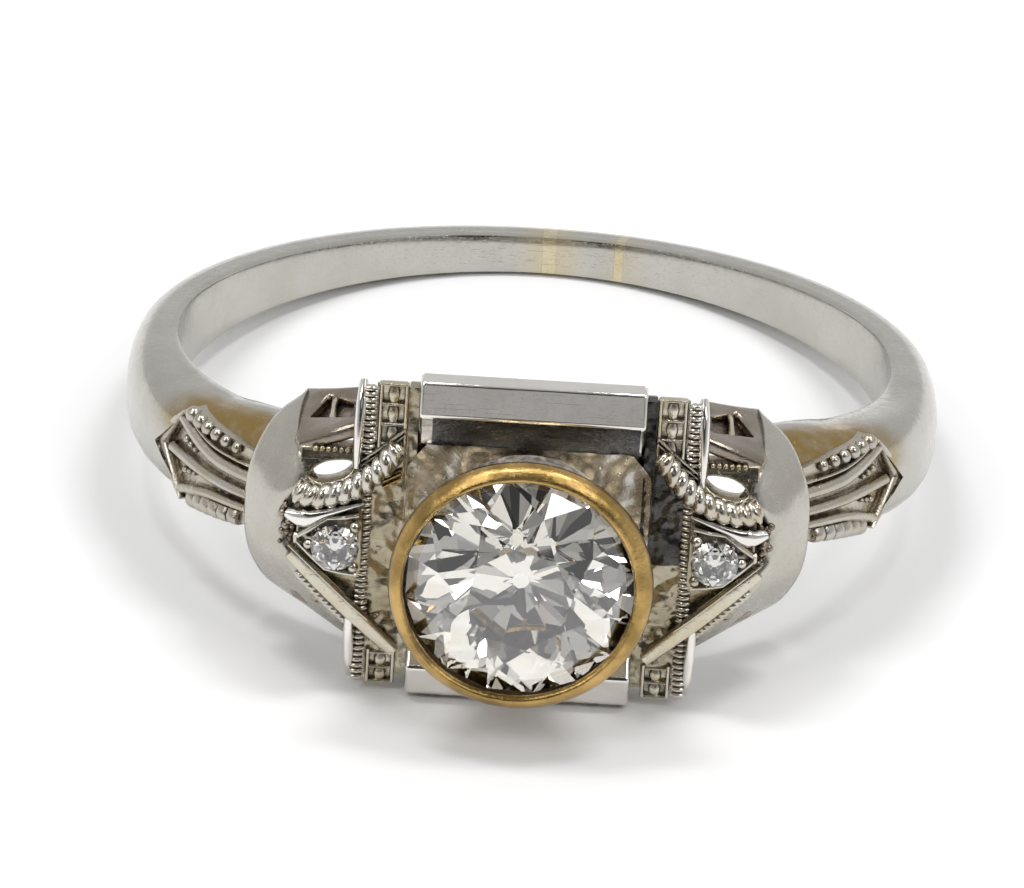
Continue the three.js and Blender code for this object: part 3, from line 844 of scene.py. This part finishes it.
def lean(shape, level):
    """Moves a wall built with its outer face at WALL_OUT to the side of the narrowing shoulder."""
    points, faces = shape
    base = WALL_OUT - WALL_FOOT[level]
    moved = [(u, v - base + 0.08 * (9.6 - w) - 0.4 * (u - PANEL_IN), w) for u, v, w in points]
    return moved, faces


def rope_shape(knots, radius, lobes):
    """A twisted wire along a path: round lobes with sharp valleys, tapering to its end."""
    count = 14 * lobes
    path = curve(knots, count)

    def section(t):
        ring = []
        end = min(1, 9 * t + 0.5, 9 * (1 - t) + 0.5) * mix(1, 0.85, t)
        for i in range(24):
            a = 2 * math.pi * i / 24
            lobe = abs(math.sin(math.pi * lobes * t + a)) ** 0.6
            r = radius * end * mix(0.76, 1.04, lobe)
            ring.append((r * math.cos(a), r * math.sin(a)))
        return ring
    return along(path, [(0, 0, 1)] * count, section)


def strap(knots, widths, height, count=28, power=0.8):
    """A polished bar whose half width follows a list of values along it."""
    path = curve(knots, count)
    places = spread(len(widths))

    def section(t):
        return oval(path_value(list(zip(places, widths)), t), height, 16, power)
    return along(path, [(0, 0, 1)] * count, section)


def build_scrolls(side, sign):
    upper = rope_shape([(5.4, 1.08, 10.08), (4.8, 0.98, 10.2), (4.05, 1.24, 10.26), (3.45, 1.74, 10.24),
                        (3.0, 2.34, 10.12)], 0.31, 11)
    piece(f"rope_upper_{side}", on_shoulder(upper, sign), ENGRAVED,
          [f"rope_scroll_upper_{side}"], sharp=60)
    lower = rope_shape([(5.26, -1.0, 10.02), (4.6, -1.68, 10.0), (3.95, -2.34, 9.9),
                        (3.62, -2.68, 9.8)], 0.1, 20)
    piece(f"rope_lower_{side}", on_shoulder(lower, sign), ENGRAVED,
          [f"rope_scroll_lower_{side}"], sharp=60)
    horn = strap([(5.52, 0.5, 10.1), (5.12, 0.44, 10.26), (4.7, 0.6, 10.3), (4.25, 0.76, 10.28),
                  (3.8, 0.9, 10.2)], [0.1, 0.24, 0.12, 0.08, 0.04], 0.16)
    piece(f"horn_{side}", on_shoulder(horn, sign), POLISHED, [f"horn_{side}"], sharp=60)
    bar = strap([(5.42, -0.5, 10.08), (4.7, -1.18, 10.1), (3.93, -1.92, 10.08), (2.92, -2.88, 10.0)],
                [0.15, 0.2, 0.2, 0.15], 0.13, power=0.6)
    wire = strap([(5.46, -0.28, 10.14), (4.72, -0.96, 10.2), (3.95, -1.7, 10.16), (3.55, -2.06, 10.12)],
                 [0.035, 0.035], 0.09)
    piece(f"edge_bar_{side}", on_shoulder(join(bar, wire), sign), WARM_METAL,
          [f"edge_bar_{side}"], sharp=60)
    ridges = []
    for lift in (0, 0.12):
        knots = [(3.95, 1.68 + lift, 9.98), (3.45, 2.08 + lift, 10.02), (2.9, 2.56 + lift, 10.0)]
        ridges.append(strap(knots, [0.03, 0.03], 0.07, 14))
    piece(f"ridges_{side}", on_shoulder(join(*ridges), sign), ENGRAVED)


def build_plaque(side, sign):
    corners = [(3.88, 0.62), (4.6, 0.5), (5.3, 0.0), (5.3, -0.06), (4.6, -0.74), (3.88, -0.86)]
    base = plate("plaque", corners, [oval_loop((ACCENT_U, ACCENT_V), (0.4, 0.4), 28)], 10.0, 10.2, 0.03)
    shapes = [base]
    for u, v, size in ((3.94, 0.38, 0.15), (3.94, -0.62, 0.13), (5.0, -0.1, 0.12)):
        shapes.append(bead((u, v, 10.5), size))
    for a, b in zip(corners, corners[1:]):
        if a[1] * b[1] < 0:
            continue
        knots = [(a[0], a[1], 10.3), ((a[0] + b[0]) / 2, (a[1] + b[1]) / 2, 10.34), (b[0], b[1], 10.3)]
        shapes.append(strap(knots, [0.06, 0.06], 0.13, 8))
    piece(f"plaque_{side}", on_shoulder(join(*shapes), sign), ENGRAVED,
          [f"accent_plaque_{side}"])
    points, faces = brilliant(ACCENT_R, 0.06, 0.17, 0.36, 0.58, 0.16)
    stone = [(u + ACCENT_U, v + ACCENT_V, w + ACCENT_GIRDLE) for u, v, w in points], faces
    piece(f"accent_stone_{side}", on_shoulder(stone, sign), SMALL_DIAMOND,
          [f"accent_diamond_{side}"], sharp=1)


# ---------- stones ----------
def ring_points(radius, w, turn, count):
    angles = [math.radians(turn + 360 * i / count) for i in range(count)]
    return [(radius * math.cos(a), radius * math.sin(a), w) for a in angles]


def brilliant(radius, girdle, crown, pavilion, table=0.47, culet=0.07, turn=0.0, uneven=0.0):
    """An old European cut: small table, kites, stars, short lower halves and an open culet."""
    step = 22.5
    half = math.cos(math.radians(step))
    star = 0.72
    lower = 0.52
    table_r, culet_r = table * radius, culet * radius
    top, bottom = crown + girdle / 2, -pavilion - girdle / 2
    star_w = top - (star * radius * half - table_r) / (radius - table_r) * crown
    lower_w = bottom + (lower * radius * half - culet_r) / (radius - culet_r) * pavilion

    def corners(r, w, extra=0, count=8, shake=1):
        made = []
        for u, v, level in ring_points(r, w, turn + extra, count):
            push_u = 1 + shake * random.uniform(-uneven, uneven)
            push_v = 1 + shake * random.uniform(-uneven, uneven)
            made.append((u * push_u, v * push_v, level))
        return made
    points = corners(table_r, top)
    points += corners(star * radius, star_w, step)
    points += corners(radius, girdle / 2, 0, 16, 0)
    points += corners(radius, -girdle / 2, 0, 16, 0)
    points += corners(lower * radius, lower_w, step, 8, 2)
    points += corners(culet_r / half, bottom, step)
    # where each ring starts: table, stars, upper and lower girdle, lower halves, culet
    T, S, G, H, N, C = 0, 8, 16, 32, 48, 56
    faces = [tuple(range(8)), tuple(reversed(range(C, C + 8)))]
    for i in range(8):
        j = (i + 1) % 8
        faces.append((T + i, S + i, T + j))
        faces.append((T + i, S + (i - 1) % 8, G + 2 * i, S + i))
        faces.append((S + i, G + 2 * i, G + 2 * i + 1))
        faces.append((S + i, G + 2 * i + 1, G + 2 * j))
        faces.append((N + i, H + 2 * i + 1, H + 2 * i))
        faces.append((N + i, H + 2 * j, H + 2 * i + 1))
        faces.append((C + (i - 1) % 8, C + i, N + i, H + 2 * i, N + (i - 1) % 8))
    for i in range(16):
        j = (i + 1) % 16
        faces.append((G + i, H + i, H + j, G + j))
    return points, faces


def build_main_stone():
    points, faces = brilliant(STONE_R, 0.1, 0.8, 2.05, turn=9, uneven=0.025)
    points = [(u + COLLET_U, v + COLLET_V, w + STONE_GIRDLE) for u, v, w in points]
    piece("main_stone", (points, faces), DIAMOND, ["center_diamond"], sharp=1)


# ---------- head ----------
def build_bars():
    """Two bars with hollow inner faces; the upper one's hollow is lined with dark, pitted metal, a painted
    dark reflection.
    """
    outline = [(2.2, HEAD_FLOOR), (BAR_OUT, HEAD_FLOOR), (BAR_OUT, 10.09), (3.15, 10.35), (2.9, 10.12),
               (2.62, 9.93), (2.34, 9.8), (2.2, 9.76)]
    cove = [(3.12, 10.33), (2.89, 10.125), (2.61, 9.94), (2.33, 9.81), (2.14, 9.76), (2.2, 9.7),
            (2.62, 9.9), (2.92, 10.1)]
    for level, sign_v in LEVELS:
        bar = extrude(outline, -BAR_HALF_U, BAR_HALF_U, "vwu")
        piece(f"bar_{level}", mirrored(bar, 1, sign_v), POLISHED,
              [f"head_bar_{level}"], bevel=0.08)
    lining = extrude(cove, 0.32 - BAR_HALF_U, BAR_HALF_U - 0.12, "vwu")
    piece("cove", lining, COVE_PAINTED_DARK_REFLECTION, sharp=60)


def build_plate():
    outline = [(-2.83, -3.5), (2.83, -3.5), (2.83, 3.5), (-2.83, 3.5)]
    low = plate("seat", outline, [oval_loop((0, 0), (2.1, 2.1), 64)], 9.0, 9.48, 0.03)
    dish = rough_dish()
    piece("dish", join(low, dish), DISH_METAL, ["head_plate"], sharp=60)


def lump(u, v):
    """The unevenness of a cast floor."""
    coarse = noise.noise(Vector((2.2 * u, 1.8 * v, 0)))
    fine = noise.noise(Vector((6 * u, 5 * v, 4)))
    return 0.1 * coarse + 0.035 * fine


def rough_dish():
    """The cast floor round the collet: an uneven ring that rises to the strips and bars."""
    rings = []
    for c, s in circle(180):
        reach = min(2.82 / max(abs(c), 1e-6), 2.3 / max(abs(s), 1e-6), 3.3)
        ring = []
        for t in spread(12):
            r = mix(DISH_HOLE, reach, t)
            ring.append((r * c, r * s, mix(9.72, 9.86, t) + lump(r * c, r * s)))
        ring.append((reach * c, reach * s, HEAD_FLOOR))
        ring.append((DISH_HOLE * c, DISH_HOLE * s, HEAD_FLOOR))
        rings.append(ring)
    rings.append(rings[0])
    return loft(rings, closed_ends=False)


def build_collet():
    rim = [(2.86, 11.86), (2.97, 11.93), (3.03, 12.05), (3.04, 12.17), (3.0, 12.31), (2.92, 12.42),
           (2.82, 12.49), (2.75, 12.52), (2.7, 12.5), (2.66, 12.45), (2.64, 12.38), (2.72, 12.23),
           (2.72, 11.9)]
    piece("collet_rim", off_centre(lathe(rim, 128, 0.0012)), GOLD, sharp=50)
    cone = [(2.0, 8.8), (2.08, 9.9), (2.4, 11.0), (2.8, 11.8), (2.84, 11.87), (2.72, 11.9), (2.68, 11.86),
            (2.44, 11.6), (1.84, 10.2), (1.8, 8.8)]
    piece("collet_cone", lathe(cone, 96, 0.004), OLD_GOLD, ["collet"], sharp=50)


def off_centre(shape):
    """Rubbing over left the lip a little wider on one side: shifts the points inside the rim."""
    points, faces = shape
    moved = []
    for u, v, w in points:
        r = math.hypot(u - COLLET_U, v - COLLET_V)
        give = smooth((2.95 - r) / 0.3) * smooth((w - 12.2) / 0.2)
        moved.append((u - 0.05 * give, v, w))
    return moved, faces


def sloped_strip(u, half, top):
    """A strip along v whose ends slope in towards its underside."""
    outline = [(STRIP_SLOPE - half, 9.0), (half - STRIP_SLOPE, 9.0), (half, top), (-half, top)]
    return extrude(outline, u[0], u[1], "vwu")


def ladder(way, cells, pitch):
    """A run of square cells with a bead in each, from a strip's end inwards."""
    shapes = []
    end = way * (STRIP_HALF - 0.06)
    edges = (STRIP_IN + 0.06, STRIP_OUT)
    middle = sum(edges) / 2
    for u in edges:
        knots = [(u, end, 9.78), (u, end - way * (cells * pitch + 0.1), 9.82)]
        shapes.append(strap(knots, [0.055, 0.055], 0.15, 4))
    for k in range(cells + 1):
        v = end - way * k * pitch
        shapes.append(strap([(edges[0], v, 9.8), (edges[1], v, 9.8)], [0.05, 0.05], 0.12, 3))
    for k in range(cells):
        v = end - way * (k + 0.5) * pitch
        reach = 0.32 * pitch
        knots = [(middle, v - reach, 9.76), (middle, v, 9.79), (middle, v + reach, 9.76)]
        shapes.append(strap(knots, [0.1, 0.15, 0.1], 0.13, 8, 0.7))
    return shapes


def build_strip(side, sign):
    shapes = [sloped_strip((STRIP_IN, STRIP_OUT + 0.1), STRIP_HALF - 0.06, 9.76)]
    shapes += ladder(1, 3, 0.49)
    shapes += ladder(-1, 2, 0.36)
    piece(f"ladder_{side}", mirrored(join(*shapes), sign), LADDER_METAL,
          [f"ladder_strip_{side}"])
    build_strip_floor(side, sign)


def lumpy(u_range, v_range, level, under, columns, rows):
    """A cast floor over a rectangle, uneven on top."""
    rings = []
    for r in spread(rows):
        v = mix(*v_range, r)
        ring = []
        for c in spread(columns):
            u = mix(*u_range, c)
            ring.append((u, v, level + lump(u, v)))
        ring += [(u_range[1], v, under), (u_range[0], v, under)]
        rings.append(ring)
    return loft(rings)


def build_strip_floor(side, sign):
    """The cast floor along the collet, bright on the left; on the right, half of it is near black, a
    painted dark reflection.
    """
    parts = [("floor", CAST, (-2.96, 2.2), (-3.55, 3.66))]
    if side == "right":
        parts = [("floor", CAST, (-2.96, -0.4), (-3.55, -0.4)),
                 ("floor_painted_dark_reflection", CAST_PAINTED_DARK_REFLECTION, (-0.4, 2.2), (-0.4, 3.66))]
    for name, material, reach, border in parts:
        shape = join(lumpy((STRIP_IN, STRIP_OUT + 0.15), reach, 9.86, 9.7, 16, 110),
                     lumpy((2.62, STRIP_IN - 0.01), border, 9.84, 9.49, 6, 110))
        piece(f"strip_{name}_{side}", mirrored(shape, sign), material, sharp=60)
    if side == "left":
        wires = []
        for lift in (0, 0.13):
            knots = [(3.36, 1.22 + lift, 9.98), (2.96, 1.46 + lift, 10.0)]
            wires.append(strap(knots, [0.035, 0.035], 0.07, 6))
        piece("floor_wires", mirrored(join(*wires), sign), GOLD)


def build_rail(side, sign):
    """The milled rail, with a polished rib beside each end."""
    shapes = [sloped_strip((RAIL_IN, RAIL_OUT), RAIL_HALF - 0.04, 9.86)]
    for k in range(-25, 26):
        v = k * RAIL_PITCH
        knots = [(RAIL_IN, v, 9.84), (3.74, v, 9.9), (3.83, v, 9.86)]
        shapes.append(strap(knots, [0.064, 0.064], 0.11, 5))
    piece(f"milgrain_{side}", mirrored(join(*shapes), sign), RAIL_METAL,
          [f"milled_rail_{side}"])
    for level, sign_v in LEVELS:
        rib = strap([(3.92, 3.62, 9.5), (3.94, 3.2, 9.8), (3.97, 2.5, 9.94), (3.98, 1.7, 9.98)],
                    [0.1, 0.14, 0.13, 0.09], 0.2, 18)
        piece(f"rib_{level}_{side}", mirrored(rib, sign, sign_v), POLISHED, sharp=60)


def build_under_gallery():
    for level, sign_v in LEVELS:
        bore = [(u / 10, math.sqrt(8.7 ** 2 - (u / 10) ** 2)) for u in range(-38, 39, 4)]
        outline = bore + [(3.8, 8.98), (-3.8, 8.98)]
        wall = plate("under", outline, [], WALL_IN, WALL_OUT, 0.06, "uwv")
        piece(f"gallery_rail_{level}", mirrored(wall, 1, sign_v), POLISHED,
              [f"under_gallery_{level}"], sharp=50)


# ---------- the room ----------
# The camera was fitted to the photograph: millimetres from the finger hole, degrees, millimetres.
CAMERA_BACK = 184.4
CAMERA_ELEVATION = 22.4
CAMERA_AZIMUTH = -0.2
CAMERA_ROLL = 3.47
CAMERA_SHIFT = (-0.501, -1.493)
CAMERA_LENS = 266.5
FLOOR_HALF = 1.5     # metres


def build_camera():
    """The camera stands off the middle of the finger hole, measured in the face frame."""
    e, a = math.radians(CAMERA_ELEVATION), math.radians(CAMERA_AZIMUTH)
    roll = math.radians(CAMERA_ROLL)
    back = Vector((math.sin(a) * math.cos(e), math.sin(e), math.cos(a) * math.cos(e)))
    right = Vector((math.cos(a), 0, -math.sin(a)))
    up = back.cross(right)
    across = right * math.cos(roll) + up * math.sin(roll)
    over = up * math.cos(roll) - right * math.sin(roll)
    place = back * CAMERA_BACK + across * CAMERA_SHIFT[0] + over * CAMERA_SHIFT[1]
    turn = FACE.to_3x3().normalized()
    lens = bpy.data.cameras.new("camera")
    lens.sensor_width = 36
    lens.lens = CAMERA_LENS
    lens.clip_start = 0.01
    lens.clip_end = 10
    camera = add("camera", lens)
    camera.matrix_world = Matrix.Translation(FACE @ place) @ (
        turn @ Matrix((across, over, back)).transposed()).to_4x4()
    bpy.context.scene.camera = camera
    return (turn @ back).normalized()


def build_floor():
    mesh = bpy.data.meshes.new("floor")
    corners = [(x * FLOOR_HALF, y * FLOOR_HALF, 0) for x, y in ((-1, -1), (1, -1), (1, 1), (-1, 1))]
    mesh.from_pydata(corners, [], [(0, 1, 2, 3)])
    floor = add("floor", mesh)
    m = Maker("pale_floor")
    tone = m.ramp(m.noise(0.02, 2), 0.3, 0.7)
    m.link(m.blend(tone, (0.93, 0.93, 0.935), (0.95, 0.95, 0.95)), m.shader.inputs["Base Color"])
    socket(m.shader, 0.7, "Roughness")
    socket(m.shader, 0.2, "Specular IOR Level")
    mesh.materials.append(m.material)


def build_world(to_camera):
    """A white light tent, greyer towards the camera, with a dark ring round the lens."""
    world = bpy.data.worlds.new("tent")
    bpy.context.scene.world = world
    world.use_nodes = True
    tree = world.node_tree
    back = tree.nodes["Background"]
    where = tree.nodes.new("ShaderNodeTexCoord")
    dot = tree.nodes.new("ShaderNodeVectorMath")
    dot.operation = "DOT_PRODUCT"
    socket(dot, to_camera, 1)
    tree.links.new(where.outputs["Generated"], dot.inputs[0])
    ramp = tree.nodes.new("ShaderNodeValToRGB")
    stops = ramp.color_ramp.elements
    stops[0].color = (1.0, 1.0, 1.0, 1)
    stops[1].color = (0.62, 0.615, 0.61, 1)
    greys = ((0.4, 0.95), (0.62, 0.72), (0.84, 0.5), (0.89, 0.05), (0.972, 0.05), (0.982, 0.62))
    for position, level in greys:
        stop = stops.new(position)
        stop.color = (level, level, level * 1.01, 1)
    tree.links.new(dot.outputs["Value"], ramp.inputs[0])
    tree.links.new(ramp.outputs[0], back.inputs["Color"])
    socket(back, 0.68, "Strength")


def area_light(name, place, size, power):
    light = bpy.data.lights.new(name, "AREA")
    light.shape = "RECTANGLE"
    light.size, light.size_y = size
    light.energy = power
    made = add(name, light)
    made.location = place
    made.rotation_mode = "QUATERNION"
    made.rotation_quaternion = Vector(place).to_track_quat("Z", "Y")


def build_lights():
    for side, way in SIDES:
        area_light(f"softbox_over_{side}", (way * 0.1, 0.02, 0.31), (0.045, 0.09), 0.24)
        area_light(f"softbox_{side}", (way * 0.2, -0.16, 0.27), (0.1, 0.14), 0.24)


# ---------- assembly ----------
TO_CAMERA = build_camera()
build_floor()
build_world(TO_CAMERA)
build_lights()
build_shank()
for side_name, side_sign in SIDES:
    build_fan(side_name, side_sign)
    build_saddle(side_name, side_sign)
    build_panel(side_name, side_sign)
    build_plaque(side_name, side_sign)
    build_strip(side_name, side_sign)
    build_rail(side_name, side_sign)
    build_scrolls(side_name, side_sign)
    for level_name, level_sign in LEVELS:
        build_wall(side_name, side_sign, level_name, level_sign)
build_bars()
build_plate()
build_under_gallery()
build_collet()
build_main_stone()

scene = bpy.context.scene
scene.view_settings.view_transform = "Standard"
